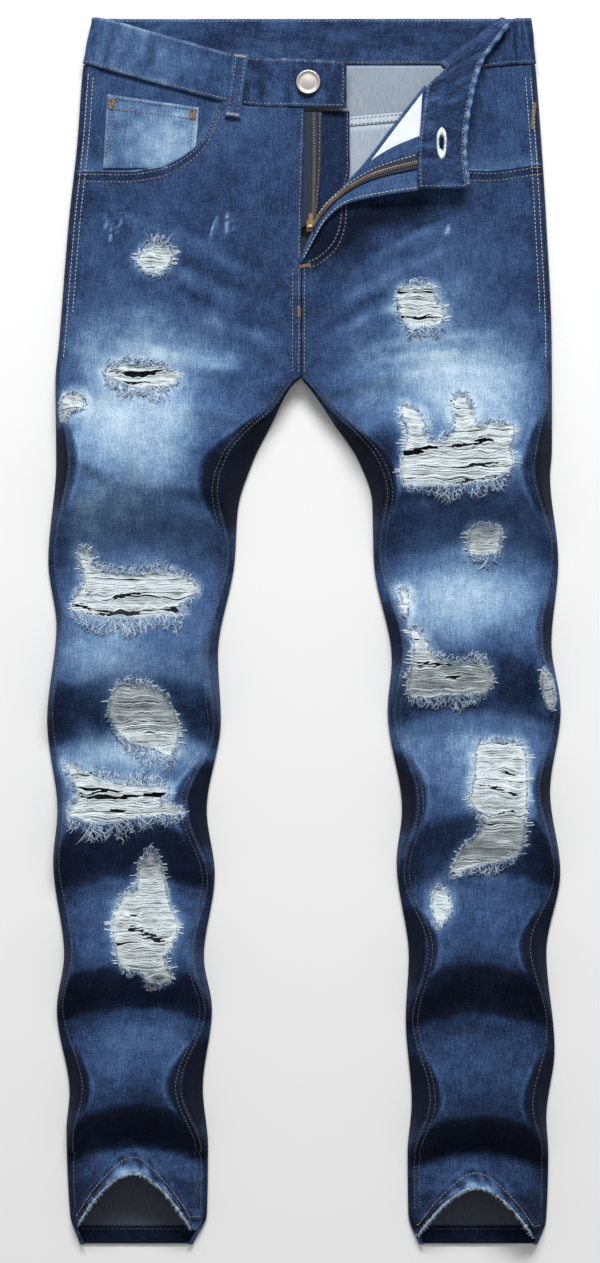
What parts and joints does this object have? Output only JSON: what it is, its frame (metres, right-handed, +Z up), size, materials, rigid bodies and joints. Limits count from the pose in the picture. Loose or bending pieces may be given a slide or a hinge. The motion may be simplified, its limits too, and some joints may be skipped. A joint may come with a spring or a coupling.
{
  "type": "ripped jeans",
  "caption": "Slim ripped blue jeans laid flat on their back, fly open and one front folded outwards, legs in cross folds.",
  "frame": {"origin": "middle of the underside, on the surface that the jeans lie on", "axes": "+X to the wearer's left, +Y along the legs towards the waist, +Z up from the surface"},
  "size_m": [0.4227, 1.0094, 0.0346],
  "materials": {
    "denim_front": "washed blue denim, faded on the thighs, frayed at the rips",
    "denim_back": "dark indigo denim",
    "denim_inside": "pale weft side of the denim",
    "pocket_cotton": "white pocket cotton",
    "zip_tape": "brown woven zip tape",
    "zip_metal": "aged brass",
    "button_metal": "worn pale metal"
  },
  "bodies": {
    "jeans": {"front_right": "denim_front", "front_left": "denim_front", "back_right": "denim_back", "back_left": "denim_back", "yoke_right": "denim_inside", "yoke_left": "denim_inside", "waistband_right": "denim_back", "waistband_back": "denim_back", "waistband_left": "denim_back", "pocket_facing_right": "denim_front", "pocket_facing_left": "denim_front", "coin_pocket": "denim_front", "pocket_bag_left": "pocket_cotton", "fly_facing": "denim_front", "fly_shield": "denim_back", "zip_tape_left": "zip_tape", "zip_tape_right": "zip_tape", "zip_slider": "zip_metal", "button": "button_metal", "belt_loop_front_right": "denim_front", "belt_loop_front_left": "denim_front", "belt_loop_back": "denim_back", "belt_loop_back_right": "denim_back", "belt_loop_back_left": "denim_back", "back_pocket_right": "denim_back", "back_pocket_left": "denim_back"},
    "zip_pull": {"zip_pull": "zip_metal"}
  },
  "joints": [
    {"name": "zip_pull_hinge", "type": "hinge", "parent": "jeans", "child": "zip_pull", "pos_m": [0.0056, 0.332, 0.0147], "axis": [1, 0, 0], "range_deg": [0, 150]}
  ]
}
